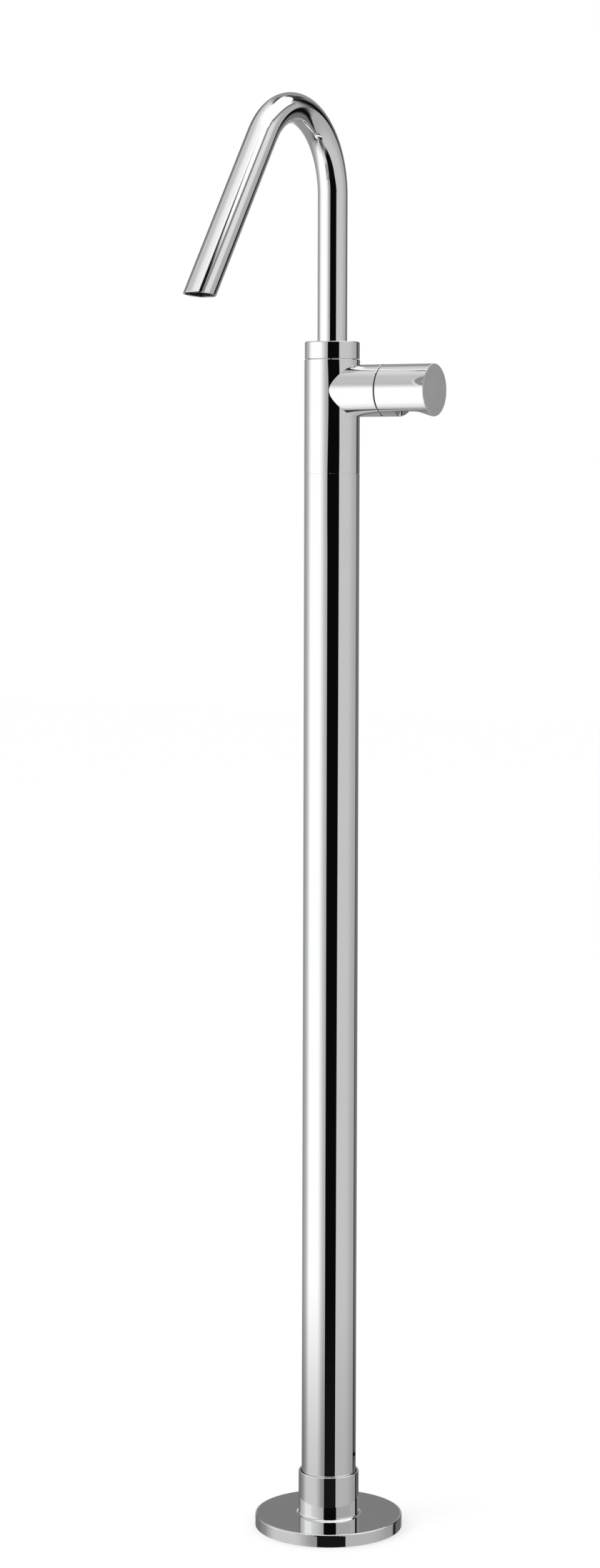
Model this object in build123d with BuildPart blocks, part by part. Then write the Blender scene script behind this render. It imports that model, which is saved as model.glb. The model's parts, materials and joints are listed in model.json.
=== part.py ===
from build123d import *
import math
import os

# Floor-standing basin mixer, millimetres. The origin is the centre of the base at floor level.
# +Z is up, the spout points towards -Y and the control knob towards +X.

# Fits between pieces, and how closely an edge is matched when it is picked
running_gap = 0.05
fixed_gap = 0.03
seat_gap = 0.05
pick_tolerance = 0.001

# Column
column_radius = 21.2
column_wall = 1.5
column_edge = 0.25
body_top = 906.0
body_height = 86.0

# Floor flange, its gasket and its bolt holes, and the spigot that the column stands on
gasket_thickness = 1.0
gasket_hole_clearance = 1.0
flange_margin = 5.3
flange_thickness = 5.5
flange_bolt_inset = 12.0
flange_bolt_count = 4
flange_bolt_angle = 45.0
flange_bolt_radius = 3.5
flange_bolt_head_radius = 6.6
spigot_height = 68.0
spigot_mouth = 16.5
spigot_lead = 1.0

# Column set screws, one on each side just above the collar
set_screw_radius = 2.8
set_screw_height = 57.7
set_screw_angle = 10.0
set_screw_count = 2
set_screw_recess = 0.7

# Floor cover and its collar
cover_radius = 57.3
cover_height = 9.7
cover_wall = 1.8
cover_rim_round = 1.2
collar_radius = 23.5
collar_top = 43.9
collar_clearance = 0.7
collar_rim_round = 0.7
collar_neck = 3.0
collar_root_round = 2.0
guide_ring_bottom = 16.0
guide_ring_height = 9.0

# Water supply: a block with two threaded inlets, and a pipe on each
supply_offset = 9.0
inlet_radius = 7.6
inlet_depth = 13.0
inlet_block_radius = 18.0
inlet_block_bottom = 14.0
inlet_block_height = 32.0
filter_radius = 5.6
filter_thickness = 1.5
filter_depth = 4.0
filter_hole_radius = 0.7
filter_hole_circle = 3.2
filter_hole_count = 6
circlip_thickness = 1.4
circlip_width = 1.7
circlip_groove = 0.7
circlip_gap_angle = 40.0
riser_radius = 5.0
riser_wall = 1.0
riser_socket_depth = 11.0
seal_wire_radius = 0.95
seal_groove_height = 2.2
seal_mouth_offset = 4.0
spacer_shares = (0.25, 0.5, 0.75)
spacer_thickness = 8.0

# Brazed ring at the top of the column, and the body's spigot that screws into it
insert_radius = 17.05
insert_height = 19.0
body_spigot_length = 21.0

# Mixer body and the branch that carries the control
handle_drop = 23.6
branch_radius = 19.64
branch_end = 45.1
branch_edge = 0.3
waterway_radius = 4.0
cartridge_seat = 10.0
cartridge_radius = 12.5
nut_radius = 15.0
nut_seat = 33.0
hot_cold_port_side = 7.2
hot_cold_port_drop = 3.0
hot_cold_port_radius = 2.0
mixed_port_rise = 6.5
mixed_port_radius = 2.8
waterway_overrun = 1.0

# Cartridge, from its seat outwards
base_seal_thickness = 0.8
base_seal_radius = 11.5
cartridge_base_thickness = 4.0
disc_radius = 10.4
disc_thickness = 3.0
carrier_thickness = 4.0
housing_inner_radius = 10.6
housing_front_wall = 5.0
stem_shoulder_radius = 5.24
stem_radius = 4.5
stem_end = 70.0
stem_seal_radius = 0.66
stem_seal_groove_radius = 3.9
stem_seal_place = 30.5
nut_length = 8.0
nut_bore = 8.0
nut_slot_count = 4
nut_slot_width = 3.0
nut_slot_depth = 2.0

# Stop for the control, and the pin that runs in its slot
limit_ring_thickness = 3.5
stop_pin_radius = 1.5
stop_pin_orbit = 11.5
stop_pin_angle = 90.0
knob_turn = 100.0
stop_slack_angle = 3.0

# Control knob
knob_gap = 1.0
knob_end = 87.3
knob_edge = 0.6
knob_back_edge = 0.3
knob_cavity_radius = 15.5
knob_cavity_depth = 10.0
knob_boss_radius = 8.5
knob_bore_end = 72.5
glide_ring_inner = 15.4
glide_ring_outer = 18.7
adaptor_radius = 6.5
adaptor_start = 52.0
adaptor_end = 72.0
knob_screw_place = 59.6
knob_screw_radius = 2.5
knob_screw_head = 12.0
stop_pin_depth = 3.0

# Finger scoop under the knob: a cut straight across, steep on the inner side and gentle at the end
scoop_start = 57.6
scoop_flat_start = 59.8
scoop_flat_end = 74.6
scoop_bend_length = 8.0
scoop_exit_angle = 27.0
scoop_depth = 3.75

# Swivel: a fixed spigot on the body, and the ring that turns round it with the spout
swivel_thread_radius = 7.0
swivel_thread_depth = 13.0
swivel_bore = 4.5
swivel_hub_radius = 15.0
swivel_hub_height = 8.0
swivel_pilot_rise = 34.0
swivel_seal_rises = (15.0, 25.0)
swivel_seal_radius = 0.9
ring_radius = 20.95
ring_bottom_gap = 0.4
ring_rise = 13.5
ring_top_round = 1.0
glide_washer_radius = 18.4
glide_washer_thickness = 1.4
spout_turn = 60.0
spout_screw_rise = 4.0
spout_screw_radius = 2.0
spout_screw_recess = 0.5
spout_screw_tip_radius = 1.2
spout_screw_tip_reach = 2.6
spout_screw_angle = 90.0
swivel_slack_angle = 2.0

# Spout: an upright run, one bend and a slanted run cut almost level
spout_radius = 11.31
spout_wall = 1.2
bend_rise = 122.6
bend_radius = 59.56
spout_slant = 36.7
spout_reach = 196.2
outlet_tilt = 5.7
outlet_overrun = 20.0
outlet_rim_round = 0.3

# Aerator in the outlet, square to the slanted run
aerator_recess = 0.8
aerator_length = 10.0
aerator_housing_wall = 1.4
aerator_insert_recess = 0.6
aerator_grid_thickness = 2.0
aerator_cup_wall = 1.0
aerator_cell = 1.5
aerator_pitch = 2.3
aerator_rows = 5
screen_cell = 1.2
screen_pitch = 2.0
screen_rows = 5
screen_thickness = 0.4
aerator_seal_thickness = 1.4
aerator_seal_bore = 6.5

# Sizes that follow from the ones above
column_bore = column_radius - column_wall
body_bottom = body_top - body_height
handle_height = body_top - handle_drop
flange_radius = cover_radius - flange_margin
flange_bolt_orbit = flange_radius - flange_bolt_inset
flange_bottom = gasket_thickness
flange_top = gasket_thickness + flange_thickness
spigot_radius = column_bore - fixed_gap
spigot_top = flange_top + spigot_height
set_screw_ways = [
    Vector(1, 0, 0).rotate(Axis.Z, set_screw_angle + turn * 360 / set_screw_count)
    for turn in range(set_screw_count)
]
collar_bore = column_radius + collar_clearance
collar_bottom = cover_height + collar_neck
inlet_block_top = inlet_block_bottom + inlet_block_height
block_bore = inlet_block_radius + fixed_gap
riser_socket = riser_radius + fixed_gap
riser_bottom = inlet_block_top - riser_socket_depth + fixed_gap
body_spigot_radius = insert_radius - fixed_gap
body_spigot_bottom = body_bottom - body_spigot_length
riser_top = body_spigot_bottom + riser_socket_depth - fixed_gap
seal_ring_radius = riser_socket + seal_wire_radius
seal_groove_radius = seal_ring_radius + seal_wire_radius + fixed_gap
seal_heights = (inlet_block_top - seal_mouth_offset, body_spigot_bottom + seal_mouth_offset)
spacer_heights = [spigot_top + share * (body_spigot_bottom - spigot_top) for share in spacer_shares]
supply_spots = ((0, -supply_offset), (0, supply_offset))
hot_cold_spots = ((-hot_cold_port_side, -hot_cold_port_drop), (hot_cold_port_side, -hot_cold_port_drop))

mixed_way_bottom = handle_height + mixed_port_rise - mixed_port_radius - waterway_overrun

knob_start = branch_end + knob_gap
base_seal_end = cartridge_seat + base_seal_thickness
cartridge_base_end = base_seal_end + cartridge_base_thickness
fixed_disc_end = cartridge_base_end + disc_thickness
moving_disc_start = fixed_disc_end + running_gap
moving_disc_end = moving_disc_start + disc_thickness
carrier_end = moving_disc_end + carrier_thickness
housing_end = nut_seat + seat_gap
housing_wall_start = housing_end - housing_front_wall
nut_start = housing_end
nut_end = nut_start + nut_length
knob_cavity_end = knob_start + knob_cavity_depth
stop_pin_start = nut_end + seat_gap
adaptor_bore = stem_radius + fixed_gap

swivel_hub_top = body_top + swivel_hub_height
swivel_pilot_top = body_top + swivel_pilot_rise
swivel_seal_heights = [body_top + rise for rise in swivel_seal_rises]
swivel_clear_radius = swivel_hub_radius + running_gap
ring_bottom = body_top + ring_bottom_gap
ring_top = body_top + ring_rise
ring_ceiling = swivel_hub_top + running_gap
spout_bore = spout_radius - spout_wall
swivel_pilot_radius = spout_bore - running_gap
slant = math.radians(spout_slant)
tilt = math.radians(outlet_tilt)
bend_start = body_top + bend_rise
bend_angle = 180.0 - spout_slant
bend_end_reach = bend_radius * (1 + math.cos(slant))
bend_end_height = bend_start + bend_radius * math.sin(slant)
spout_leg = (spout_reach - bend_end_reach) / math.sin(slant)
outlet_height = bend_end_height - spout_leg * math.cos(slant)
outlet_centre = Vector(0, -spout_reach, outlet_height)
leg_direction = Vector(0, -math.sin(slant), -math.cos(slant))
outlet_facing = Vector(0, -math.sin(tilt), -math.cos(tilt))

outlet_plane = Plane(origin=outlet_centre, x_dir=(1, 0, 0), z_dir=outlet_facing)

# The cut leans off square, so one side of the tube is shorter and the aerator starts inside that side
cut_lean = slant - tilt
short_side = spout_bore * math.tan(cut_lean)
aerator_face = -short_side - aerator_recess
aerator_bore = spout_bore - fixed_gap - aerator_housing_wall
aerator_radius = aerator_bore - fixed_gap
aerator_insert_face = aerator_face - aerator_insert_recess
aerator_seal_end = aerator_face - aerator_length + aerator_seal_thickness

swivel_seal_groove_radius = swivel_pilot_radius - 2 * swivel_seal_radius - fixed_gap
swivel_tip_radius = swivel_hub_radius - spout_screw_tip_reach
swivel_tip_half_angle = math.degrees(math.asin(spout_screw_tip_radius / swivel_tip_radius))
swivel_stop_half_angle = swivel_tip_half_angle + swivel_slack_angle
spout_screw_height = body_top + spout_screw_rise
spout_screw_plane = Plane(origin=(0, 0, spout_screw_height), x_dir=(1, 0, 0), z_dir=(0, 1, 0))

knob_screw_plane = Plane(origin=(knob_screw_place, 0, handle_height), x_dir=(1, 0, 0), z_dir=(0, 0, -1))
scoop_exit = math.radians(scoop_exit_angle)
scoop_bend_drop = scoop_bend_length * math.tan(scoop_exit / 2)
scoop_exit_length = (scoop_depth - scoop_bend_drop) / math.tan(scoop_exit)
scoop_lip = handle_height - branch_radius
scoop_floor = scoop_lip + scoop_depth


def branch_plane(distance):
    """A plane square to the branch, at this distance from the column's axis."""
    return Plane(origin=(distance, 0, handle_height), x_dir=(0, 1, 0), z_dir=(1, 0, 0))


def leg_plane(distance):
    """A plane square to the spout's slanted run, at this distance beyond the outlet's centre."""
    return Plane(origin=outlet_centre + leg_direction * distance, x_dir=(1, 0, 0), z_dir=leg_direction)


def rims(shape, radius, centre):
    """The circular edges of this radius round this centre."""
    return shape.edges().filter_by(
        lambda edge: edge.geom_type == GeomType.CIRCLE
        and abs(edge.radius - radius) < pick_tolerance
        and (edge.arc_center - Vector(*centre)).length < pick_tolerance
    )


def ring(plane, outer_radius, inner_radius, length):
    """A plain turned ring that starts on the plane."""
    with BuildPart() as turned:
        with BuildSketch(plane):
            Circle(outer_radius)
            Circle(inner_radius, mode=Mode.SUBTRACT)
        extrude(amount=length)
    return turned


def seal_rings(planes, centre_radius, wire_radius):
    """One O-ring on each plane."""
    with BuildPart() as seals:
        for plane in planes:
            with Locations(plane):
                Torus(centre_radius, wire_radius)
    return seals


def arc_slot(plane, orbit_radius, half_width, middle_angle, half_angle, depth):
    """A curved slot with square ends, as a solid to cut away."""
    with BuildPart() as slot:
        with BuildSketch(plane):
            with BuildLine():
                inner = CenterArc(
                    (0, 0), orbit_radius - half_width, middle_angle - half_angle, 2 * half_angle
                )
                outer = CenterArc(
                    (0, 0), orbit_radius + half_width, middle_angle - half_angle, 2 * half_angle
                )
                Line(inner @ 0, outer @ 0)
                Line(inner @ 1, outer @ 1)
            make_face()
        extrude(amount=depth)
    return slot


os.makedirs("parts", exist_ok=True)

# Rubber gasket between the flange and the floor
with BuildPart() as floor_gasket:
    with BuildSketch():
        Circle(flange_radius)
        Circle(block_bore + circlip_groove, mode=Mode.SUBTRACT)
        with PolarLocations(flange_bolt_orbit, flange_bolt_count, start_angle=flange_bolt_angle):
            Circle(flange_bolt_radius + gasket_hole_clearance, mode=Mode.SUBTRACT)
    extrude(amount=gasket_thickness)
floor_gasket.part.label = "floor_gasket"
export_step(floor_gasket.part, "parts/floor_gasket.step")

# Floor flange: a plate with countersunk holes for the floor screws
with BuildPart() as floor_flange:
    with BuildSketch(Plane.XY.offset(flange_bottom)):
        Circle(flange_radius)
        Circle(spigot_radius + fixed_gap, mode=Mode.SUBTRACT)
    extrude(amount=flange_thickness)
    with Locations((0, 0, flange_top)):
        with PolarLocations(flange_bolt_orbit, flange_bolt_count, start_angle=flange_bolt_angle):
            CounterSinkHole(flange_bolt_radius, flange_bolt_head_radius, depth=flange_thickness)
floor_flange.part.label = "floor_flange"
export_step(floor_flange.part, "parts/floor_flange.step")

# Spigot pressed into the flange, which the column stands round: it holds the inlet block
with BuildPart() as column_spigot:
    with BuildSketch(Plane.XY.offset(flange_bottom)):
        Circle(spigot_radius)
    extrude(amount=spigot_top - flange_bottom)
    chamfer(column_spigot.faces().sort_by(Axis.Z)[-1].edges(), spigot_lead)
    with BuildSketch(Plane.XY.offset(flange_bottom)):
        Circle(spigot_mouth)
    extrude(amount=spigot_top - flange_bottom, mode=Mode.SUBTRACT)
    with BuildSketch(Plane.XY.offset(flange_bottom)):
        Circle(block_bore)
    extrude(amount=inlet_block_top - flange_bottom, mode=Mode.SUBTRACT)
    with BuildSketch(Plane.XY.offset(inlet_block_bottom - circlip_thickness - 2 * fixed_gap)):
        Circle(block_bore + circlip_groove)
    extrude(amount=circlip_thickness + 2 * fixed_gap, mode=Mode.SUBTRACT)
    for screw_out in set_screw_ways:
        with BuildSketch(Plane(origin=(0, 0, set_screw_height), z_dir=screw_out)):
            Circle(set_screw_radius)
        extrude(amount=column_radius, mode=Mode.SUBTRACT)
column_spigot.part.label = "column_spigot"
export_step(column_spigot.part, "parts/column_spigot.step")

# Column tube, with a clearance hole for each set screw
with BuildPart() as column_tube:
    with BuildSketch(Plane.XY.offset(flange_top)):
        Circle(column_radius)
        Circle(column_bore, mode=Mode.SUBTRACT)
    extrude(amount=body_bottom - flange_top)
    top_rim = column_tube.faces().sort_by(Axis.Z)[-1].edges().sort_by(SortBy.RADIUS)[-1]
    chamfer(top_rim, column_edge)
    for screw_out in set_screw_ways:
        with BuildSketch(Plane(origin=(0, 0, set_screw_height), z_dir=screw_out)):
            Circle(set_screw_radius + fixed_gap)
        extrude(amount=2 * column_radius, mode=Mode.SUBTRACT)
column_tube.part.label = "column_tube"
export_step(column_tube.part, "parts/column_tube.step")

# Set screws that lock the column to the spigot, each with a hexagon socket
with BuildPart() as column_set_screws:
    screw_top = column_radius - set_screw_recess
    for screw_out in set_screw_ways:
        inner_end = screw_out * spigot_mouth + Vector(0, 0, set_screw_height)
        outer_end = screw_out * screw_top + Vector(0, 0, set_screw_height)
        with BuildSketch(Plane(origin=inner_end, z_dir=screw_out)):
            Circle(set_screw_radius - fixed_gap)
        extrude(amount=screw_top - spigot_mouth)
        with BuildSketch(Plane(origin=outer_end, z_dir=screw_out)):
            RegularPolygon(set_screw_radius / 2, 6, major_radius=False)
        extrude(amount=-set_screw_radius, mode=Mode.SUBTRACT)
column_set_screws.part.label = "column_set_screws"
export_step(column_set_screws.part, "parts/column_set_screws.step")

# Floor cover: a thin disc with a rounded rim, and a short neck that the collar stands on
with BuildPart() as floor_cover:
    with BuildSketch(Plane.XZ):
        with BuildLine():
            Polyline(
                (cover_radius, 0),
                (cover_radius, cover_height),
                (collar_radius, cover_height),
                (collar_radius, collar_bottom),
                (collar_bore, collar_bottom),
                (collar_bore, cover_height - cover_wall),
                (cover_radius - cover_wall, cover_height - cover_wall),
                (cover_radius - cover_wall, 0),
                close=True,
            )
        make_face()
    revolve(axis=Axis.Z)
    fillet(rims(floor_cover, cover_radius, (0, 0, cover_height)), cover_rim_round)
    fillet(rims(floor_cover, collar_radius, (0, 0, cover_height)), collar_root_round)
floor_cover.part.label = "floor_cover"
export_step(floor_cover.part, "parts/floor_cover.step")

# Collar that hides the column's foot, joined flush to the cover's neck
with BuildPart() as cover_collar:
    with BuildSketch(Plane.XY.offset(collar_bottom)):
        Circle(collar_radius)
        Circle(collar_bore, mode=Mode.SUBTRACT)
    extrude(amount=collar_top - collar_bottom)
    fillet(rims(cover_collar, collar_radius, (0, 0, collar_top)), collar_rim_round)
    fillet(rims(cover_collar, collar_bore, (0, 0, collar_top)), collar_rim_round)
cover_collar.part.label = "cover_collar"
export_step(cover_collar.part, "parts/cover_collar.step")

# Nylon ring inside the collar that centres the cover on the column
cover_guide_ring = ring(
    Plane.XY.offset(guide_ring_bottom),
    collar_bore - fixed_gap,
    column_radius + running_gap,
    guide_ring_height,
)
cover_guide_ring.part.label = "cover_guide_ring"
export_step(cover_guide_ring.part, "parts/cover_guide_ring.step")

# Inlet block in the spigot: two threaded inlets below, a filter seat and a pipe socket above each
with BuildPart() as inlet_block:
    with BuildSketch(Plane.XY.offset(inlet_block_bottom)):
        Circle(inlet_block_radius)
    extrude(amount=inlet_block_height)
    with BuildSketch(Plane.XY.offset(inlet_block_bottom)):
        with Locations(*supply_spots):
            Circle(inlet_radius)
    extrude(amount=inlet_depth, mode=Mode.SUBTRACT)
    with BuildSketch(Plane.XY.offset(inlet_block_bottom)):
        with Locations(*supply_spots):
            Circle(filter_radius)
    extrude(amount=inlet_depth + filter_depth, mode=Mode.SUBTRACT)
    with BuildSketch(Plane.XY.offset(inlet_block_bottom)):
        with Locations(*supply_spots):
            Circle(waterway_radius)
    extrude(amount=inlet_block_height, mode=Mode.SUBTRACT)
    with BuildSketch(Plane.XY.offset(inlet_block_top)):
        with Locations(*supply_spots):
            Circle(riser_socket)
    extrude(amount=-riser_socket_depth, mode=Mode.SUBTRACT)
    with BuildSketch(Plane.XY.offset(seal_heights[0] - seal_groove_height / 2)):
        with Locations(*supply_spots):
            Circle(seal_groove_radius)
    extrude(amount=seal_groove_height, mode=Mode.SUBTRACT)
inlet_block.part.label = "inlet_block"
export_step(inlet_block.part, "parts/inlet_block.step")

# Spring ring that holds the inlet block up against the spigot's shoulder
with BuildPart() as block_circlip:
    with BuildSketch(Plane.XY.offset(inlet_block_bottom - circlip_thickness - fixed_gap)):
        Circle(block_bore + circlip_groove - fixed_gap)
        Circle(block_bore + circlip_groove - circlip_width, mode=Mode.SUBTRACT)
        with Locations((inlet_block_radius, 0)):
            Rectangle(
                2 * circlip_width + circlip_groove,
                2 * inlet_block_radius * math.sin(math.radians(circlip_gap_angle / 2)),
                mode=Mode.SUBTRACT,
            )
    extrude(amount=circlip_thickness)
block_circlip.part.label = "block_circlip"
export_step(block_circlip.part, "parts/block_circlip.step")

# Strainers at the inner end of the two inlets
filter_bottom = inlet_block_bottom + inlet_depth + filter_depth - filter_thickness - fixed_gap
with BuildPart() as inlet_filters:
    with BuildSketch(Plane.XY.offset(filter_bottom)):
        with Locations(*supply_spots):
            Circle(filter_radius - fixed_gap)
            Circle(filter_hole_radius, mode=Mode.SUBTRACT)
            with PolarLocations(filter_hole_circle, filter_hole_count):
                Circle(filter_hole_radius, mode=Mode.SUBTRACT)
    extrude(amount=filter_thickness)
inlet_filters.part.label = "inlet_filters"
export_step(inlet_filters.part, "parts/inlet_filters.step")

# Hot and cold pipes inside the column
for pipe_name, side in (("cold_riser_pipe", -supply_offset), ("hot_riser_pipe", supply_offset)):
    riser_pipe = ring(
        Plane(origin=(0, side, riser_bottom)),
        riser_radius,
        riser_radius - riser_wall,
        riser_top - riser_bottom,
    )
    riser_pipe.part.label = pipe_name
    export_step(riser_pipe.part, "parts/" + pipe_name + ".step")

# O-rings round both ends of the two pipes
riser_seals = seal_rings(
    [Plane(origin=(x, y, z)) for x, y in supply_spots for z in seal_heights],
    seal_ring_radius,
    seal_wire_radius,
)
riser_seals.part.label = "riser_seals"
export_step(riser_seals.part, "parts/riser_seals.step")

# Plastic discs that keep the pipes apart and quiet inside the column
with BuildPart() as pipe_spacers:
    for spacer_height in spacer_heights:
        with BuildSketch(Plane.XY.offset(spacer_height)):
            Circle(column_bore - running_gap)
            with Locations(*supply_spots):
                Circle(riser_socket, mode=Mode.SUBTRACT)
        extrude(amount=spacer_thickness)
pipe_spacers.part.label = "pipe_spacers"
export_step(pipe_spacers.part, "parts/pipe_spacers.step")

# Ring brazed into the top of the column, which the mixer body screws into
column_insert = ring(
    Plane.XY.offset(body_bottom - seat_gap - insert_height),
    column_bore - fixed_gap,
    insert_radius,
    insert_height,
)
column_insert.part.label = "column_insert"
export_step(column_insert.part, "parts/column_insert.step")

# Mixer body: an upright barrel, the branch for the control, and the waterways drilled in them
with BuildPart() as mixer_body:
    with BuildSketch(Plane.XY.offset(body_bottom)):
        Circle(column_radius)
    extrude(amount=body_top - body_bottom)
    chamfer(rims(mixer_body, column_radius, (0, 0, body_bottom)), column_edge)
    chamfer(rims(mixer_body, column_radius, (0, 0, body_top)), column_edge)
    with BuildSketch(branch_plane(0)):
        Circle(branch_radius)
    extrude(amount=branch_end)
    chamfer(mixer_body.faces().sort_by(Axis.X)[-1].edges(), branch_edge)
    with BuildSketch(Plane.XY.offset(body_bottom)):
        Circle(body_spigot_radius)
    extrude(amount=-body_spigot_length)
    # Seats for the cartridge and its nut
    with BuildSketch(branch_plane(cartridge_seat)):
        Circle(cartridge_radius + running_gap)
    extrude(amount=branch_end, mode=Mode.SUBTRACT)
    with BuildSketch(branch_plane(nut_seat)):
        Circle(nut_radius + fixed_gap)
    extrude(amount=branch_end, mode=Mode.SUBTRACT)
    # Pipe sockets, and the hot and cold ways up to the cartridge
    with BuildSketch(Plane.XY.offset(body_spigot_bottom)):
        with Locations(*supply_spots):
            Circle(riser_socket)
    extrude(amount=riser_socket_depth, mode=Mode.SUBTRACT)
    with BuildSketch(Plane.XY.offset(seal_heights[1] - seal_groove_height / 2)):
        with Locations(*supply_spots):
            Circle(seal_groove_radius)
    extrude(amount=seal_groove_height, mode=Mode.SUBTRACT)
    with BuildSketch(Plane.XY.offset(body_spigot_bottom)):
        with Locations(*supply_spots):
            Circle(waterway_radius)
    extrude(amount=handle_height - body_spigot_bottom, mode=Mode.SUBTRACT)
    with BuildSketch(branch_plane(0)):
        with Locations(*hot_cold_spots):
            Circle(hot_cold_port_radius)
        with Locations((0, mixed_port_rise)):
            Circle(mixed_port_radius)
    extrude(amount=cartridge_seat, mode=Mode.SUBTRACT)
    # Mixed water way up to the spout, and the thread for the swivel spigot
    with BuildSketch(Plane.XY.offset(body_top)):
        Circle(swivel_bore)
    extrude(amount=mixed_way_bottom - body_top, mode=Mode.SUBTRACT)
    with BuildSketch(Plane.XY.offset(body_top)):
        Circle(swivel_thread_radius + fixed_gap)
    extrude(amount=-swivel_thread_depth, mode=Mode.SUBTRACT)
mixer_body.part.label = "mixer_body"
export_step(mixer_body.part, "parts/mixer_body.step")


def ported_disc(start, outer_radius, thickness):
    """A disc across the branch with the cold, hot and mixed ports through it."""
    with BuildPart() as disc:
        with BuildSketch(branch_plane(start)):
            Circle(outer_radius)
            with Locations(*hot_cold_spots):
                Circle(hot_cold_port_radius, mode=Mode.SUBTRACT)
            with Locations((0, mixed_port_rise)):
                Circle(mixed_port_radius, mode=Mode.SUBTRACT)
        extrude(amount=thickness)
    return disc


# Cartridge, from its seat outwards: rubber seal, base, and the fixed ceramic disc
cartridge_base_seal = ported_disc(cartridge_seat, base_seal_radius, base_seal_thickness)
cartridge_base_seal.part.label = "cartridge_base_seal"
export_step(cartridge_base_seal.part, "parts/cartridge_base_seal.step")

cartridge_base = ported_disc(base_seal_end, cartridge_radius, cartridge_base_thickness)
cartridge_base.part.label = "cartridge_base"
export_step(cartridge_base.part, "parts/cartridge_base.step")

fixed_ceramic_disc = ported_disc(cartridge_base_end, disc_radius, disc_thickness)
fixed_ceramic_disc.part.label = "fixed_ceramic_disc"
export_step(fixed_ceramic_disc.part, "parts/fixed_ceramic_disc.step")

# Moving ceramic disc, with the curved pocket that joins the ports as it turns
moving_pocket = arc_slot(
    branch_plane(moving_disc_start),
    mixed_port_rise,
    mixed_port_radius,
    stop_pin_angle,
    knob_turn / 2,
    disc_thickness / 2,
)
with BuildPart() as moving_ceramic_disc:
    with BuildSketch(branch_plane(moving_disc_start)):
        Circle(disc_radius)
    extrude(amount=disc_thickness)
    add(moving_pocket.part, mode=Mode.SUBTRACT)
moving_ceramic_disc.part.label = "moving_ceramic_disc"
export_step(moving_ceramic_disc.part, "parts/moving_ceramic_disc.step")

# Stem: it carries the moving disc at one end and the knob at the other
with BuildPart() as cartridge_stem:
    with BuildSketch(branch_plane(moving_disc_end)):
        Circle(disc_radius)
    extrude(amount=carrier_thickness)
    with BuildSketch(branch_plane(carrier_end)):
        Circle(stem_shoulder_radius)
    extrude(amount=housing_end - carrier_end)
    with BuildSketch(branch_plane(housing_end)):
        Circle(stem_radius)
    extrude(amount=stem_end - housing_end)
    with BuildSketch(branch_plane(stem_seal_place - stem_seal_radius - fixed_gap)):
        Circle(stem_shoulder_radius)
        Circle(stem_seal_groove_radius, mode=Mode.SUBTRACT)
    extrude(amount=2 * (stem_seal_radius + fixed_gap), mode=Mode.SUBTRACT)
cartridge_stem.part.label = "cartridge_stem"
export_step(cartridge_stem.part, "parts/cartridge_stem.step")

stem_seal = seal_rings(
    [branch_plane(stem_seal_place)], stem_seal_groove_radius + stem_seal_radius, stem_seal_radius
)
stem_seal.part.label = "stem_seal"
export_step(stem_seal.part, "parts/stem_seal.step")

# Low-friction washer between the turning carrier and the housing's front wall
stem_thrust_washer = ring(
    branch_plane(carrier_end + running_gap),
    housing_inner_radius - running_gap,
    stem_shoulder_radius + running_gap,
    housing_wall_start - carrier_end - 2 * running_gap,
)
stem_thrust_washer.part.label = "stem_thrust_washer"
export_step(stem_thrust_washer.part, "parts/stem_thrust_washer.step")

# Cartridge housing: a cup over the discs, open towards the base
with BuildPart() as cartridge_housing:
    with BuildSketch(branch_plane(cartridge_base_end)):
        Circle(cartridge_radius)
    extrude(amount=housing_end - cartridge_base_end)
    with BuildSketch(branch_plane(cartridge_base_end)):
        Circle(housing_inner_radius)
    extrude(amount=housing_wall_start - cartridge_base_end, mode=Mode.SUBTRACT)
    with BuildSketch(branch_plane(cartridge_base_end)):
        Circle(stem_shoulder_radius + running_gap)
    extrude(amount=housing_end - cartridge_base_end, mode=Mode.SUBTRACT)
cartridge_housing.part.label = "cartridge_housing"
export_step(cartridge_housing.part, "parts/cartridge_housing.step")

# Nut that presses the cartridge home, slotted for its spanner
with BuildPart() as cartridge_nut:
    with BuildSketch(branch_plane(nut_start)):
        Circle(nut_radius)
        Circle(nut_bore, mode=Mode.SUBTRACT)
    extrude(amount=nut_length)
    with BuildSketch(branch_plane(nut_end)):
        with PolarLocations((nut_radius + nut_bore) / 2, nut_slot_count):
            Rectangle(nut_radius, nut_slot_width)
    extrude(amount=-nut_slot_depth, mode=Mode.SUBTRACT)
cartridge_nut.part.label = "cartridge_nut"
export_step(cartridge_nut.part, "parts/cartridge_nut.step")

# Ring that limits the knob's turn: the stop pin runs in its curved slot
stop_pin_half_angle = math.degrees(math.asin(stop_pin_radius / stop_pin_orbit)) + stop_slack_angle
limit_slot = arc_slot(
    branch_plane(nut_end),
    stop_pin_orbit,
    stop_pin_radius + running_gap,
    stop_pin_angle + knob_turn / 2,
    knob_turn / 2 + stop_pin_half_angle,
    limit_ring_thickness,
)
with BuildPart() as limit_ring:
    with BuildSketch(branch_plane(nut_end)):
        Circle(nut_radius)
        Circle(nut_bore, mode=Mode.SUBTRACT)
    extrude(amount=limit_ring_thickness)
    add(limit_slot.part, mode=Mode.SUBTRACT)
limit_ring.part.label = "limit_ring"
export_step(limit_ring.part, "parts/limit_ring.step")

# Thin dark ring that closes the seam between the branch and the knob
knob_glide_ring = ring(branch_plane(branch_end), glide_ring_outer, glide_ring_inner, knob_gap - running_gap)
knob_glide_ring.part.label = "knob_glide_ring"
export_step(knob_glide_ring.part, "parts/knob_glide_ring.step")

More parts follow.
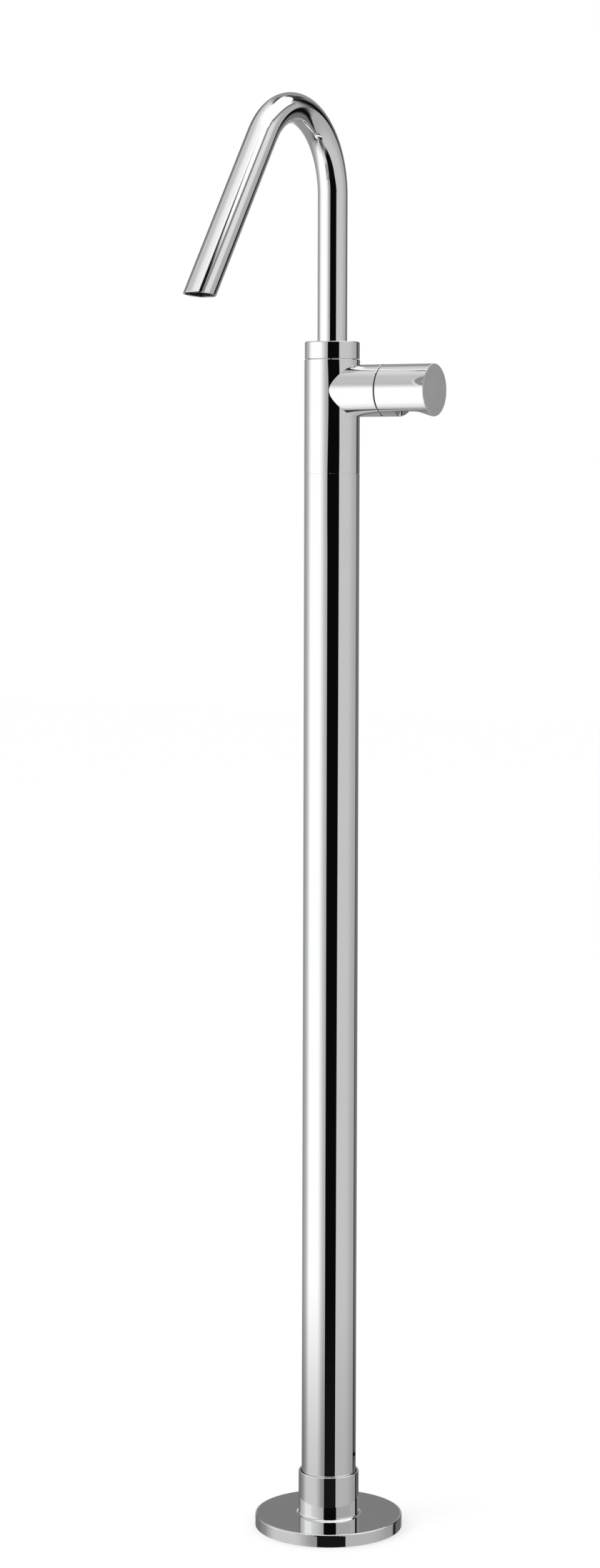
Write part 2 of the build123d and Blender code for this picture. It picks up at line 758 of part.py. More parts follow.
# Control knob: a turned drum with a finger scoop below and a screw hole where the scoop begins
with BuildPart() as knob:
    with BuildSketch(branch_plane(knob_start)):
        Circle(branch_radius)
    extrude(amount=knob_end - knob_start)
    fillet(rims(knob, branch_radius, (knob_end, 0, handle_height)), knob_edge)
    chamfer(rims(knob, branch_radius, (knob_start, 0, handle_height)), knob_back_edge)
    with BuildSketch(branch_plane(knob_start)):
        Circle(knob_cavity_radius)
        Circle(knob_boss_radius, mode=Mode.SUBTRACT)
    extrude(amount=knob_cavity_depth, mode=Mode.SUBTRACT)
    with BuildSketch(branch_plane(knob_start)):
        Circle(adaptor_radius + fixed_gap)
    extrude(amount=knob_bore_end - knob_start, mode=Mode.SUBTRACT)
    with BuildSketch(branch_plane(knob_cavity_end)):
        with PolarLocations(stop_pin_orbit, 1, start_angle=stop_pin_angle):
            Circle(stop_pin_radius + fixed_gap)
    extrude(amount=stop_pin_depth, mode=Mode.SUBTRACT)
    # The scoop's outline, seen from the front
    with BuildSketch(Plane.XZ):
        with BuildLine():
            flank = Line((scoop_start, scoop_lip), (scoop_flat_start, scoop_floor))
            flat = Line(flank @ 1, (scoop_flat_end, scoop_floor))
            ease_end = flat @ 1 + Vector(scoop_bend_length, -scoop_bend_drop)
            ease = TangentArc(flat @ 1, ease_end, tangent=flat % 1)
            run_out = Line(ease_end, ease_end + (ease % 1) * (scoop_exit_length / math.cos(scoop_exit)))
            Line(run_out @ 1, flank @ 0)
        make_face()
    extrude(amount=branch_radius, both=True, mode=Mode.SUBTRACT)
    with BuildSketch(knob_screw_plane):
        Circle(knob_screw_radius)
    extrude(amount=2 * branch_radius, mode=Mode.SUBTRACT)
knob.part.label = "knob"
export_step(knob.part, "parts/knob.step")

# Pin pressed into the knob, which runs in the limit ring's slot
with BuildPart() as stop_pin:
    with BuildSketch(branch_plane(stop_pin_start)):
        with PolarLocations(stop_pin_orbit, 1, start_angle=stop_pin_angle):
            Circle(stop_pin_radius)
    extrude(amount=knob_cavity_end + stop_pin_depth - fixed_gap - stop_pin_start)
stop_pin.part.label = "stop_pin"
export_step(stop_pin.part, "parts/stop_pin.step")

# Splined sleeve between the stem and the knob
with BuildPart() as knob_adaptor:
    with BuildSketch(branch_plane(adaptor_start)):
        Circle(adaptor_radius)
        Circle(adaptor_bore, mode=Mode.SUBTRACT)
    extrude(amount=adaptor_end - adaptor_start)
    with BuildSketch(knob_screw_plane):
        Circle(knob_screw_radius)
    extrude(amount=branch_radius, mode=Mode.SUBTRACT)
knob_adaptor.part.label = "knob_adaptor"
export_step(knob_adaptor.part, "parts/knob_adaptor.step")

# Set screw that holds the knob on the stem, deep in its hole
with BuildPart() as knob_set_screw:
    with BuildSketch(knob_screw_plane.offset(stem_radius + seat_gap)):
        Circle(knob_screw_radius - fixed_gap)
    extrude(amount=knob_screw_head - stem_radius - seat_gap)
    with BuildSketch(knob_screw_plane.offset(knob_screw_head)):
        RegularPolygon(knob_screw_radius / 2, 6, major_radius=False)
    extrude(amount=-knob_screw_radius, mode=Mode.SUBTRACT)
knob_set_screw.part.label = "knob_set_screw"
export_step(knob_set_screw.part, "parts/knob_set_screw.step")

# Swivel spigot on the body: thread below, hub with a stop groove, and a pilot inside the spout
swivel_groove = arc_slot(
    Plane.XY.offset(spout_screw_height - spout_screw_tip_radius - running_gap),
    swivel_hub_radius,
    spout_screw_tip_reach + running_gap,
    spout_screw_angle,
    spout_turn + swivel_stop_half_angle,
    2 * (spout_screw_tip_radius + running_gap),
)
with BuildPart() as swivel_spigot:
    with BuildSketch(Plane.XY.offset(body_top)):
        Circle(swivel_thread_radius)
    extrude(amount=-swivel_thread_depth)
    with BuildSketch(Plane.XY.offset(body_top)):
        Circle(swivel_hub_radius)
    extrude(amount=swivel_hub_height)
    with BuildSketch(Plane.XY.offset(swivel_hub_top)):
        Circle(swivel_pilot_radius)
    extrude(amount=swivel_pilot_top - swivel_hub_top)
    for seal_height in swivel_seal_heights:
        with BuildSketch(Plane.XY.offset(seal_height - swivel_seal_radius - fixed_gap)):
            Circle(swivel_pilot_radius)
            Circle(swivel_seal_groove_radius, mode=Mode.SUBTRACT)
        extrude(amount=2 * (swivel_seal_radius + fixed_gap), mode=Mode.SUBTRACT)
    with BuildSketch(Plane.XY.offset(swivel_pilot_top)):
        Circle(swivel_bore)
    extrude(amount=body_top - swivel_thread_depth - swivel_pilot_top, mode=Mode.SUBTRACT)
    add(swivel_groove.part, mode=Mode.SUBTRACT)
swivel_spigot.part.label = "swivel_spigot"
export_step(swivel_spigot.part, "parts/swivel_spigot.step")

swivel_seals = seal_rings(
    [Plane.XY.offset(seal_height) for seal_height in swivel_seal_heights],
    swivel_pilot_radius - swivel_seal_radius,
    swivel_seal_radius,
)
swivel_seals.part.label = "swivel_seals"
export_step(swivel_seals.part, "parts/swivel_seals.step")

# Plastic washer that the swivel ring turns on
swivel_glide_washer = ring(
    Plane.XY.offset(body_top), glide_washer_radius, swivel_clear_radius, glide_washer_thickness
)
swivel_glide_washer.part.label = "swivel_glide_washer"
export_step(swivel_glide_washer.part, "parts/swivel_glide_washer.step")

# Swivel ring that carries the spout
with BuildPart() as swivel_ring:
    with BuildSketch(Plane.XY.offset(ring_bottom)):
        Circle(ring_radius)
    extrude(amount=ring_top - ring_bottom)
    fillet(rims(swivel_ring, ring_radius, (0, 0, ring_top)), ring_top_round)
    chamfer(rims(swivel_ring, ring_radius, (0, 0, ring_bottom)), column_edge)
    with BuildSketch(Plane.XY.offset(ring_bottom)):
        Circle(spout_radius + fixed_gap)
    extrude(amount=ring_top - ring_bottom, mode=Mode.SUBTRACT)
    with BuildSketch(Plane.XY.offset(ring_bottom)):
        Circle(swivel_clear_radius)
    extrude(amount=ring_ceiling - ring_bottom, mode=Mode.SUBTRACT)
    with BuildSketch(Plane.XY.offset(ring_bottom)):
        Circle(glide_washer_radius + running_gap)
    extrude(amount=body_top + glide_washer_thickness + running_gap - ring_bottom, mode=Mode.SUBTRACT)
    with BuildSketch(spout_screw_plane):
        Circle(spout_screw_radius + fixed_gap)
    extrude(amount=2 * ring_radius, mode=Mode.SUBTRACT)
swivel_ring.part.label = "swivel_ring"
export_step(swivel_ring.part, "parts/swivel_ring.step")

# Set screw at the back of the swivel ring: its tip runs in the hub's groove and stops the swing
with BuildPart() as spout_set_screw:
    with BuildSketch(spout_screw_plane.offset(swivel_clear_radius)):
        Circle(spout_screw_radius)
    extrude(amount=ring_radius - spout_screw_recess - swivel_clear_radius)
    with BuildSketch(spout_screw_plane.offset(swivel_clear_radius)):
        Circle(spout_screw_tip_radius)
    extrude(amount=-spout_screw_tip_reach)
    with BuildSketch(spout_screw_plane.offset(ring_radius - spout_screw_recess)):
        RegularPolygon(spout_screw_radius / 2, 6, major_radius=False)
    extrude(amount=-spout_screw_radius, mode=Mode.SUBTRACT)
spout_set_screw.part.label = "spout_set_screw"
export_step(spout_set_screw.part, "parts/spout_set_screw.step")

# Spout tube: bent from one length, then cut almost level at the outlet
with BuildPart() as spout_tube:
    with BuildLine(Plane.YZ):
        Line((0, ring_ceiling), (0, bend_start))
        bend = CenterArc((-bend_radius, bend_start), bend_radius, 0, bend_angle)
        Line(bend @ 1, bend @ 1 + (bend % 1) * (spout_leg + outlet_overrun))
    with BuildSketch(Plane.XY.offset(ring_ceiling)):
        Circle(spout_radius)
        Circle(spout_bore, mode=Mode.SUBTRACT)
    sweep()
    with BuildSketch(outlet_plane):
        Circle(2 * spout_radius)
    extrude(amount=2 * outlet_overrun, mode=Mode.SUBTRACT)
    outlet_rim = spout_tube.faces().sort_by_distance(outlet_centre)[0]
    fillet(outlet_rim.edges(), outlet_rim_round)
spout_tube.part.label = "spout_tube"
export_step(spout_tube.part, "parts/spout_tube.step")

# Aerator: a threaded sleeve in the tube, with a screen and a grid, sealed behind
aerator_housing = ring(
    leg_plane(aerator_face - aerator_length), spout_bore - fixed_gap, aerator_bore, aerator_length
)
aerator_housing.part.label = "aerator_housing"
export_step(aerator_housing.part, "parts/aerator_housing.step")

with BuildPart() as aerator_insert:
    with BuildSketch(leg_plane(aerator_seal_end)):
        Circle(aerator_radius)
    extrude(amount=aerator_insert_face - aerator_seal_end)
    with BuildSketch(leg_plane(aerator_seal_end)):
        Circle(aerator_radius - aerator_cup_wall)
    extrude(amount=aerator_insert_face - aerator_grid_thickness - aerator_seal_end, mode=Mode.SUBTRACT)
    with BuildSketch(leg_plane(aerator_insert_face)):
        with GridLocations(aerator_pitch, aerator_pitch, aerator_rows, aerator_rows):
            Rectangle(aerator_cell, aerator_cell)
    extrude(amount=-aerator_grid_thickness, mode=Mode.SUBTRACT)
aerator_insert.part.label = "aerator_insert"
export_step(aerator_insert.part, "parts/aerator_insert.step")

with BuildPart() as aerator_screen:
    with BuildSketch(leg_plane(aerator_seal_end)):
        Circle(aerator_radius - aerator_cup_wall - fixed_gap)
        with GridLocations(screen_pitch, screen_pitch, screen_rows, screen_rows):
            Rectangle(screen_cell, screen_cell, mode=Mode.SUBTRACT)
    extrude(amount=screen_thickness)
aerator_screen.part.label = "aerator_screen"
export_step(aerator_screen.part, "parts/aerator_screen.step")

aerator_seal = ring(
    leg_plane(aerator_face - aerator_length), aerator_radius, aerator_seal_bore, aerator_seal_thickness
)
aerator_seal.part.label = "aerator_seal"
export_step(aerator_seal.part, "parts/aerator_seal.step")

spout_top = bend_start + bend_radius + spout_radius
print("outlet height", round(outlet_height, 2), "top", round(spout_top, 2))
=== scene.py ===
"""The looks of a floor-standing basin mixer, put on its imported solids, and the studio around it."""

import json
import math
from typing import NamedTuple

import bpy
from mathutils import Matrix, Vector

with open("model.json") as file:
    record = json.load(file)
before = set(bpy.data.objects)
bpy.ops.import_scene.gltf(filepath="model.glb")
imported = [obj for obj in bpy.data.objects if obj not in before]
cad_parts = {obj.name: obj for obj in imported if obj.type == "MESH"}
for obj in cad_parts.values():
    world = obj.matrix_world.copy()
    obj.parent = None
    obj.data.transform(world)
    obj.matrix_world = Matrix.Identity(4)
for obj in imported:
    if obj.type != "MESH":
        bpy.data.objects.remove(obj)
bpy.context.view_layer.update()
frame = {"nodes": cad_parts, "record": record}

# The photograph's height in pixels, and the camera that was fitted to it, in metres and radians. The
# camera sees what is nearer than the second distance and farther than the first.
PHOTO_HEIGHT = 2195
FOCAL_PIXELS = 4534.0
SENSOR_MM = 36.0
CAMERA_AZIMUTH = 0.4977
CAMERA_DISTANCE = 2.4763
CAMERA_HEIGHT = 0.81374
CAMERA_PITCH = 0.09299
CAMERA_ROLL = 0.00234
CAMERA_YAW = 0.00956
CAMERA_SEES = (0.05, 50.0)

# Light that is the same all round, which pale things and the floor take their brightness from
SOFT_LIGHT = 0.78

# One weak lamp gives the floor a shadow with a direction
LAMP_PLACE = (-1.6, -2.0, 2.2)
LAMP_AIM = (0.0, 0.0, 0.5)
LAMP_SIZE = 1.6
LAMP_POWER = 12.0

# The floor's half width in metres, its colour, and the light that lifts it to white for the camera
FLOOR_HALF = 8.0
FLOOR_COLOUR = (0.93, 0.93, 0.93, 1.0)
FLOOR_LIFT = 0.27

# Reflections see the studio through the floor. Near the foot only a share of it gets through, as painted
# shade of the object on the floor, and a little painted glow is added.
# The share grows from left to right, by x / distance from the column.
NEAR_FOOT = 0.10
FAR_FROM_FOOT = 0.85
LEFT_UP_TO = 0.0
RIGHT_FROM = 0.6
NEAR_SHARE_LEFT = 0.56
NEAR_SHARE_RIGHT = 0.80
NEAR_PAINTED_GLOW = 0.006

# Chrome: scales of its noises per metre, its tint, and the roughness of its two finishes. The
# knob's flat end, beyond an x in metres, is satin; all other chrome is polished.
HAZE_SCALE = 55.0
WAVE_SCALE = 38.0
WAVE_STRENGTH = 0.5
CHROME_TINT = ((0.90, 0.905, 0.91, 1.0), (0.93, 0.93, 0.93, 1.0))
POLISHED = (0.010, 0.022)
SATIN = (0.42, 0.47)
SATIN_FROM = 0.0868

# Nearly all of a noise's values lie in this range
NOISE_RANGE = (0.3, 0.7)

# A speckled surface has broad patches of colour, fewer than its grains by this factor. Its grains
# stand out at this strength. Waves and fine grains are this deep, in metres.
PATCHES_PER_GRAIN = 0.2
GRAIN_STRENGTH = 0.6
FINE_DEPTH = 0.00001

# Places of the colour sockets on a Mix node, which has several sockets of each name
MIX_COLOURS = (6, 7)
MIX_COLOUR_RESULT = 2


class Tree:
    """Adds nodes to one shader tree and links them in the same call."""

    def __init__(self, tree):
        self.tree = tree
        self.tree.nodes.clear()

    def add(self, kind, inputs=None, **settings):
        node = self.tree.nodes.new(kind)
        for name, value in settings.items():
            setattr(node, name, value)
        for name, value in (inputs or {}).items():
            self.put(node.inputs[name], value)
        return node

    def put(self, socket, value):
        if isinstance(value, bpy.types.NodeSocket):
            self.tree.links.new(value, socket)
        else:
            socket.default_value = value

    def maths(self, operation, *values):
        node = self.add("ShaderNodeMath", operation=operation)
        for socket, value in zip(node.inputs, values):
            self.put(socket, value)
        return node.outputs[0]

    def spread(self, value, low, high, out_low=0.0, out_high=1.0, interpolation="SMOOTHSTEP"):
        """value from low..high turned into out_low..out_high."""
        inputs = {"Value": value, "From Min": low, "From Max": high, "To Min": out_low, "To Max": out_high}
        return self.add("ShaderNodeMapRange", inputs, interpolation_type=interpolation).outputs[0]

    def within(self, value, low, high, soft):
        """1 where value lies from low to high and 0 outside, with soft edges."""
        rise = self.spread(value, low - soft[0] / 2, low + soft[0] / 2)
        fall = self.spread(value, high - soft[1] / 2, high + soft[1] / 2, 1.0, 0.0)
        return self.maths("MULTIPLY", rise, fall)

    def skew(self, value, other, middle, slope):
        """value less slope times how far the other value is past its middle."""
        if not slope:
            return value
        past = self.maths("SUBTRACT", other, middle)
        return self.maths("SUBTRACT", value, self.maths("MULTIPLY", past, slope))

    def mix(self, factor, first, second):
        """From the first number to the second by a factor."""
        inputs = {"Factor": factor, "A": first, "B": second}
        return self.add("ShaderNodeMix", inputs, data_type="FLOAT").outputs[0]

    def blend(self, factor, first, second):
        """From the first colour to the second by a factor."""
        node = self.add("ShaderNodeMix", {"Factor": factor}, data_type="RGBA")
        for place, colour in zip(MIX_COLOURS, (first, second)):
            self.put(node.inputs[place], colour)
        return node.outputs[MIX_COLOUR_RESULT]

    def join(self, kind, first, second, factor=None):
        """Adds two shaders, or mixes them by a factor."""
        node = self.add(kind)
        self.put(node.inputs[-2], first.outputs[0])
        self.put(node.inputs[-1], second.outputs[0])
        if factor is not None:
            self.put(node.inputs[0], factor)
        return node

    def noise(self, place, scale, detail=3.0, roughness=0.5):
        inputs = {"Vector": place, "Scale": scale, "Detail": detail, "Roughness": roughness}
        return self.add("ShaderNodeTexNoise", inputs).outputs[0]


def grey(level):
    return (level, level, level, 1.0)


class Panel(NamedTuple):
    """A patch of the studio, in degrees, and its brightness. Azimuth 0 is towards the spout's outlet,
    90 towards the knob, and the camera stands at 28. Elevation 0 is level. The soft widths are those
    of the left and right side, and of the low and high end. Lean moves the sides per degree of height
    over the panel's middle, and tilt moves the ends per degree of azimuth past it."""
    left: float
    right: float
    side_soft: tuple
    low: float
    high: float
    end_soft: tuple
    level: float
    lean: float = 0.0
    tilt: float = 0.0


# The studio as the chrome sees it, each panel painted over those before it. Azimuths run from -180 to
# 180, so a panel that goes on past 180, straight behind the spout, has a second part from -190.
STUDIO_BASE = 0.31
CEILING_LEVEL = 1.08
FLAG_LEVEL = 0.003
STUDIO = {
    "left wall": Panel(-105, -20, (8, 10), -90, 60, (1, 10), 0.44),
    "upper left wall": Panel(-100, -10, (20, 10), 10, 95, (16, 1), 0.56),
    "upper rear wall": Panel(-139, -90, (10, 10), 38, 95, (14, 1), 0.62),
    "rear left shade": Panel(-134, -116, (10, 12), 10, 36, (10, 8), 0.14),
    "rear left glow": Panel(-160, -131, (10, 8), -8, 14, (10, 8), 0.62),
    "rear shade": Panel(150, 190, (6, 1), -72, 26, (10, 10), 0.165),
    "rear shade, left": Panel(-190, -171, (1, 12), -52, 10, (8, 8), 0.17),
    "front wall": Panel(-30, 60, (10, 2), -90, 60, (1, 20), 0.46),
    "front floor": Panel(-12, 22, (10, 4), -90, -46, (1, 8), 0.62),
    "soft box": Panel(-79.5, -9.5, (34, 35), -95, 15, (1, 24), 1.09),
    "soft box, upper": Panel(-75, -41, (10, 6), 14.5, 26, (5, 10), 0.88),
    "front strip": Panel(-10, -3, (3, 3), -47, -19.5, (6, 1), 0.19, -0.12),
    "low front wall": Panel(-3, 14, (3, 3), -46, -19.5, (8, 1), 0.36),
    "right wall": Panel(50, 150, (2, 7), -90, 60, (1, 20), 0.59),
    "right corner": Panel(120, 150, (50, 7), -90, 38, (1, 12), 0.43),
    "upper right wall": Panel(84, 126, (10, 30), 22, 50, (4, 6), 0.77),
    "right wall, upper": Panel(57, 125, (3, 16), 11, 21, (4, 4), 0.42),
    "shade under ceiling": Panel(60, 96, (4, 4), 49, 62, (4, 1), 0.22, 0, -0.4),
    "shade under far ceiling": Panel(95, 114, (4, 4), 42, 52, (4, 1), 0.20, 0, -0.1),
    "shade under rear ceiling": Panel(112, 150, (4, 4), 31, 46, (7, 1), 0.20, 0, -0.42),
    "beam": Panel(56, 76, (2, 10), 46, 66, (6, 1), 0.01, 0, -0.4),
    "flag": Panel(9.5, 58, (2, 1.5), -1, 61, (1, 2), FLAG_LEVEL),
    "flag, left half": Panel(10.6, 36, (1.5, 1), -20, 1, (1, 1), FLAG_LEVEL),
    "flag, right half": Panel(30, 57.3, (1, 1.5), -20, 1, (1, 1), FLAG_LEVEL, 0.2),
    "flag's foot": Panel(15.5, 63, (3, 4), -66, -19, (22, 1), 0.004, -0.3),
    "rear low shade": Panel(-162, -140, (6, 6), 15.5, 22, (3, 3), 0.215),
    "gap": Panel(149.5, 160.5, (7, 8), -20, 1, (2, 2), 0.004),
    "gap, upper": Panel(151.5, 161, (5, 6), -1, 11, (1, 3), 0.004),
    "gap, lower": Panel(153, 162, (6, 6), -58, -19, (20, 1), 0.004, -0.12),
    "rear dark": Panel(154, 167, (5, 6), 9, 60, (6, 1), 0.005),
    "rear dusk": Panel(160, 190, (8, 1), 30, 60, (12, 1), 0.045),
    "rear dusk, left": Panel(-190, -169, (1, 8), 42, 60, (6, 1), 0.1),
    "floor, right": Panel(10, 190, (10, 1), -95, -70, (1, 8), 0.12),
    "floor, rear": Panel(-190, -107, (1, 14), -95, -69, (1, 10), 0.09),
    "ceiling": Panel(-148, 51, (10, 6), 65.5, 95, (34, 1), CEILING_LEVEL),
    "ceiling, right top": Panel(18, 190, (16, 1), 68.3, 95, (2, 1), CEILING_LEVEL),
    "ceiling, rear top": Panel(-190, -148, (1, 8), 70, 95, (4, 1), CEILING_LEVEL),
    "ceiling, right": Panel(51, 79, (3, 2), 60.5, 128, (1.5, 1), CEILING_LEVEL, 0, -0.5),
    "ceiling, far right": Panel(77, 97, (2, 2), 50, 130, (1.5, 1), CEILING_LEVEL, 0, -0.3),
    "ceiling, middle": Panel(95, 113, (2, 2), 47.6, 130, (2, 1), CEILING_LEVEL, 0, -0.05),
    "ceiling, rear right": Panel(111, 149, (2, 3), 38, 140, (2.5, 1), CEILING_LEVEL, 0, -0.42),
    "ceiling, rear": Panel(148, 190, (3, 1), 44.5, 140, (3, 1), CEILING_LEVEL, 0, 0.42),
    "ceiling, rear left": Panel(-190, -164, (1, 5), 50.5, 95, (3, 1), CEILING_LEVEL),
    "flag's corner": Panel(50, 63, (4, 4), 50, 65, (2, 1.5), FLAG_LEVEL, 0, -0.43),
    "lamp gap": Panel(-163, -149, (7, 7), 50, 69, (8, 6), 0.07),
}


def studio_brightness(tree):
    """Brightness by direction, as a socket."""
    place = tree.add("ShaderNodeTexCoord").outputs["Generated"]
    split = tree.add("ShaderNodeSeparateXYZ", {"Vector": place}).outputs
    behind = tree.maths("MULTIPLY", split["Y"], -1.0)
    azimuth = tree.maths("DEGREES", tree.maths("ARCTAN2", split["X"], behind))
    elevation = tree.maths("DEGREES", tree.maths("ARCSINE", split["Z"]))
    brightness = STUDIO_BASE
    for panel in STUDIO.values():
        middle = ((panel.left + panel.right) / 2, (panel.low + panel.high) / 2)
        across = tree.skew(azimuth, elevation, middle[1], panel.lean)
        height = tree.skew(elevation, azimuth, middle[0], panel.tilt)
        inside = tree.maths(
            "MULTIPLY",
            tree.within(across, panel.left, panel.right, panel.side_soft),
            tree.within(height, panel.low, panel.high, panel.end_soft),
        )
        brightness = tree.mix(inside, brightness, panel.level)
    return brightness


def make_world():
    world = bpy.data.worlds.new("studio")
    bpy.context.scene.world = world
    world.use_nodes = True
    # The studio is found by bounced rays alone: aiming rays at its bright panels adds speckles
    world.cycles.sampling_method = "NONE"
    tree = Tree(world.node_tree)
    ray = tree.add("ShaderNodeLightPath").outputs
    mirror = tree.maths("MAXIMUM", ray["Is Glossy Ray"], ray["Is Transmission Ray"])
    white = tree.add("ShaderNodeBackground", {"Color": grey(1.0), "Strength": 1.0})
    soft = tree.add("ShaderNodeBackground", {"Color": grey(SOFT_LIGHT), "Strength": 1.0})
    studio = tree.add("ShaderNodeBackground", {"Color": studio_brightness(tree), "Strength": 1.0})
    lit = tree.join("ShaderNodeMixShader", soft, studio, mirror)
    shown = tree.join("ShaderNodeMixShader", lit, white, ray["Is Camera Ray"])
    tree.add("ShaderNodeOutputWorld", {"Surface": shown.outputs[0]})


def make_camera():
    toward = Vector((-math.sin(CAMERA_AZIMUTH), math.cos(CAMERA_AZIMUTH), 0.0))
    aside = Vector((math.cos(CAMERA_AZIMUTH), math.sin(CAMERA_AZIMUTH), 0.0))
    up = Vector((0.0, 0.0, 1.0))
    place = -CAMERA_DISTANCE * toward + CAMERA_HEIGHT * up
    level = math.cos(CAMERA_YAW) * toward - math.sin(CAMERA_YAW) * aside
    right = math.cos(CAMERA_YAW) * aside + math.sin(CAMERA_YAW) * toward
    forward = math.cos(CAMERA_PITCH) * level - math.sin(CAMERA_PITCH) * up
    over = math.cos(CAMERA_PITCH) * up + math.sin(CAMERA_PITCH) * level
    x_axis = math.cos(CAMERA_ROLL) * right + math.sin(CAMERA_ROLL) * over
    y_axis = -math.sin(CAMERA_ROLL) * right + math.cos(CAMERA_ROLL) * over
    data = bpy.data.cameras.new("camera")
    data.sensor_fit = "VERTICAL"
    data.sensor_height = SENSOR_MM
    data.lens = FOCAL_PIXELS * SENSOR_MM / PHOTO_HEIGHT
    data.clip_start, data.clip_end = CAMERA_SEES
    camera = bpy.data.objects.new("camera", data)
    turn = Matrix((x_axis, y_axis, -forward)).transposed()
    camera.matrix_world = Matrix.Translation(place) @ turn.to_4x4()
    bpy.context.scene.collection.objects.link(camera)
    bpy.context.scene.camera = camera


def make_material(name):
    material = bpy.data.materials.new(name)
    material.use_nodes = True
    return material, Tree(material.node_tree)


def finish_material(tree, shader):
    tree.add("ShaderNodeOutputMaterial", {"Surface": shader.outputs[0]})


def own_place(tree):
    """The point in the piece's own mesh, in metres: it moves with the piece."""
    return tree.add("ShaderNodeTexCoord").outputs["Object"]


def make_chrome():
    """Plated chrome: a mirror with a trace of waviness and haze."""
    material, tree = make_material("chrome")
    place = own_place(tree)
    haze = tree.noise(place, HAZE_SCALE, detail=4.0)
    waves = tree.noise(place, WAVE_SCALE, detail=1.0)
    tint = tree.blend(haze, *CHROME_TINT)
    polished = tree.spread(haze, *NOISE_RANGE, *POLISHED, "LINEAR")
    satin = tree.spread(haze, *NOISE_RANGE, *SATIN, "LINEAR")
    along = tree.add("ShaderNodeSeparateXYZ", {"Vector": place}).outputs["X"]
    end_face = tree.maths("GREATER_THAN", along, SATIN_FROM)
    roughness = tree.mix(end_face, polished, satin)
    bump = tree.add("ShaderNodeBump", {"Strength": WAVE_STRENGTH, "Distance": FINE_DEPTH, "Height": waves})
    inputs = {"Base Color": tint, "Metallic": 1.0, "Roughness": roughness, "Normal": bump.outputs[0]}
    finish_material(tree, tree.add("ShaderNodeBsdfPrincipled", inputs))
    return material


class Finish(NamedTuple):
    """A speckled surface: its darkest and lightest colour, how metallic and how rough it is, its
    grains per metre and their depth in metres."""
    dark: tuple
    light: tuple
    metallic: float
    roughness: tuple
    grain: float
    depth: float = FINE_DEPTH


# The finish of each slot apart from chrome
SPECKLED = {
    "cast_brass": Finish((0.55, 0.38, 0.16), (0.74, 0.56, 0.29), 1.0, (0.30, 0.50), 900, 0.00005),
    "stainless": Finish((0.52, 0.52, 0.51), (0.66, 0.66, 0.65), 1.0, (0.20, 0.34), 1500),
    "copper_pipe": Finish((0.70, 0.32, 0.19), (0.90, 0.52, 0.36), 1.0, (0.18, 0.38), 400),
    "black_rubber": Finish((0.012, 0.012, 0.013), (0.030, 0.030, 0.031), 0.0, (0.60, 0.85), 1800, 0.00003),
    "dark_plastic": Finish((0.020, 0.020, 0.022), (0.035, 0.035, 0.037), 0.0, (0.35, 0.50), 1500),
    "white_plastic": Finish((0.70, 0.70, 0.68), (0.80, 0.80, 0.79), 0.0, (0.30, 0.45), 1200),
    "grey_plastic": Finish((0.20, 0.21, 0.22), (0.29, 0.30, 0.31), 0.0, (0.35, 0.50), 1200),
    "ceramic": Finish((0.80, 0.79, 0.76), (0.90, 0.89, 0.87), 0.0, (0.08, 0.16), 2500),
}

# Pieces that are darker than their slot: blackened set screws, and the aerator's sleeve, whose dark colour
# is painted shade of the outlet's inside
BLACKENED = Finish((0.020, 0.020, 0.021), (0.040, 0.040, 0.042), 1.0, (0.30, 0.45), 1800)
# Painted shade: the aerator sleeve's dark colour stands in for the shade inside the outlet
PAINTED_OUTLET_SHADE = Finish((0.035, 0.035, 0.036), (0.075, 0.075, 0.077), 1.0, (0.25, 0.40), 1500)
DARKER_NODES = {
    "aerator_housing": PAINTED_OUTLET_SHADE,
    "column_set_screws": BLACKENED,
    "knob_set_screw": BLACKENED,
    "spout_set_screw": BLACKENED,
}


def make_speckled(name, finish):
    """A material whose colour, roughness and fine surface vary with noises."""
    material, tree = make_material(name)
    place = own_place(tree)
    patches = tree.noise(place, finish.grain * PATCHES_PER_GRAIN, detail=3.0)
    grains = tree.noise(place, finish.grain, detail=4.0, roughness=0.6)
    share = tree.spread(patches, *NOISE_RANGE)
    colour = tree.blend(share, (*finish.dark, 1.0), (*finish.light, 1.0))
    rough = tree.spread(grains, *NOISE_RANGE, *finish.roughness, "LINEAR")
    relief = {"Strength": GRAIN_STRENGTH, "Distance": finish.depth, "Height": grains}
    inputs = {
        "Base Color": colour,
        "Metallic": finish.metallic,
        "Roughness": rough,
        "Normal": tree.add("ShaderNodeBump", relief).outputs[0],
    }
    finish_material(tree, tree.add("ShaderNodeBsdfPrincipled", inputs))
    return material


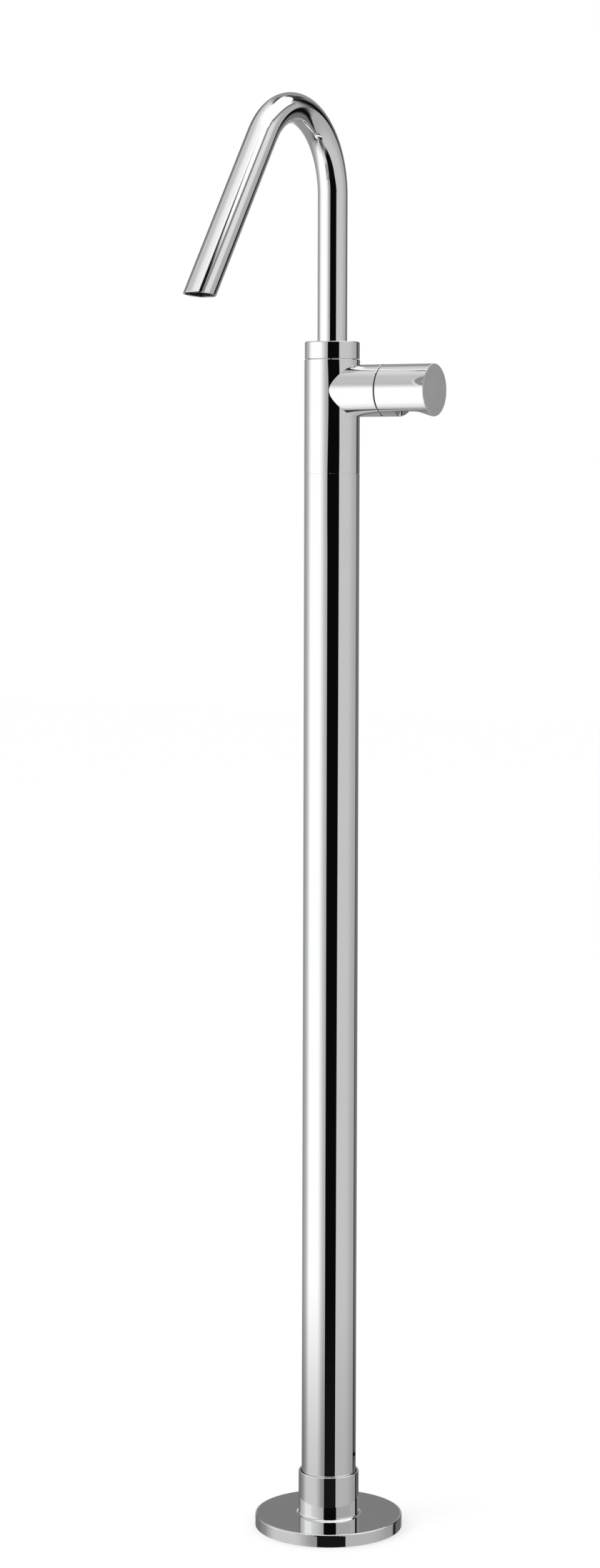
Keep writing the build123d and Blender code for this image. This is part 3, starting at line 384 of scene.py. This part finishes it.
def make_floor():
    """White to the camera apart from the object's shadow. Reflections see the studio through it, dimmed
    near the foot as painted shade and with a faint painted glow added.
    """
    material, tree = make_material("floor")
    ray = tree.add("ShaderNodeLightPath").outputs
    plain = tree.add("ShaderNodeBsdfDiffuse", {"Color": FLOOR_COLOUR})
    lift = tree.add("ShaderNodeEmission", {"Color": grey(FLOOR_LIFT), "Strength": ray["Is Camera Ray"]})
    lifted = tree.join("ShaderNodeAddShader", plain, lift)
    place = own_place(tree)
    distance = tree.add("ShaderNodeVectorMath", {0: place}, operation="LENGTH").outputs["Value"]
    along = tree.add("ShaderNodeSeparateXYZ", {"Vector": place}).outputs["X"]
    sideways = tree.maths("DIVIDE", along, distance)
    # Painted shade: near the foot the floor lets only this share of the studio through to reflections,
    # less on the left
    near_share = tree.spread(sideways, LEFT_UP_TO, RIGHT_FROM, NEAR_SHARE_LEFT, NEAR_SHARE_RIGHT)
    share = tree.spread(distance, NEAR_FOOT, FAR_FROM_FOOT, near_share, 1.0)
    # Painted glow: a faint light added to the floor's reflections near the foot, fading with distance
    haze = tree.spread(distance, NEAR_FOOT, FAR_FROM_FOOT, NEAR_PAINTED_GLOW, 0.0)
    clear = tree.add("ShaderNodeBsdfTransparent", {"Color": share})
    glow = tree.add("ShaderNodeEmission", {"Color": haze, "Strength": 1.0})
    studio = tree.join("ShaderNodeAddShader", clear, glow)
    mirror = tree.maths("MAXIMUM", ray["Is Glossy Ray"], ray["Is Transmission Ray"])
    finish_material(tree, tree.join("ShaderNodeMixShader", lifted, studio, mirror))
    quarters = [(-1, -1), (1, -1), (1, 1), (-1, 1)]
    corners = [(FLOOR_HALF * x, FLOOR_HALF * y, 0.0) for x, y in quarters]
    mesh = bpy.data.meshes.new("floor")
    mesh.from_pydata(corners, [], [(0, 1, 2, 3)])
    mesh.materials.append(material)
    floor = bpy.data.objects.new("floor", mesh)
    bpy.context.scene.collection.objects.link(floor)


def make_lamp():
    """The lamp that the chrome doesn't mirror."""
    data = bpy.data.lights.new("key", "AREA")
    data.energy = LAMP_POWER
    data.size = LAMP_SIZE
    lamp = bpy.data.objects.new("key", data)
    aim = Vector(LAMP_AIM) - Vector(LAMP_PLACE)
    lamp.rotation_euler = aim.to_track_quat("-Z", "Y").to_euler()
    lamp.location = LAMP_PLACE
    lamp.visible_glossy = False
    bpy.context.scene.collection.objects.link(lamp)


def put_on(node, material):
    for place in frame["nodes"][node].material_slots:
        place.material = material


def dress_nodes():
    """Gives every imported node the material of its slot, and a few nodes a darker one."""
    materials = {name: make_speckled(name, finish) for name, finish in SPECKLED.items()}
    materials["chrome"] = materials["chrome_floor_cover"] = make_chrome()
    for part in frame["record"]["subparts"]:
        put_on(part["node"], materials[part["material_slot"]])
    for node, finish in DARKER_NODES.items():
        put_on(node, make_speckled(node, finish))


make_world()
make_camera()
make_floor()
make_lamp()
dress_nodes()

bpy.context.scene.view_settings.view_transform = "Standard"
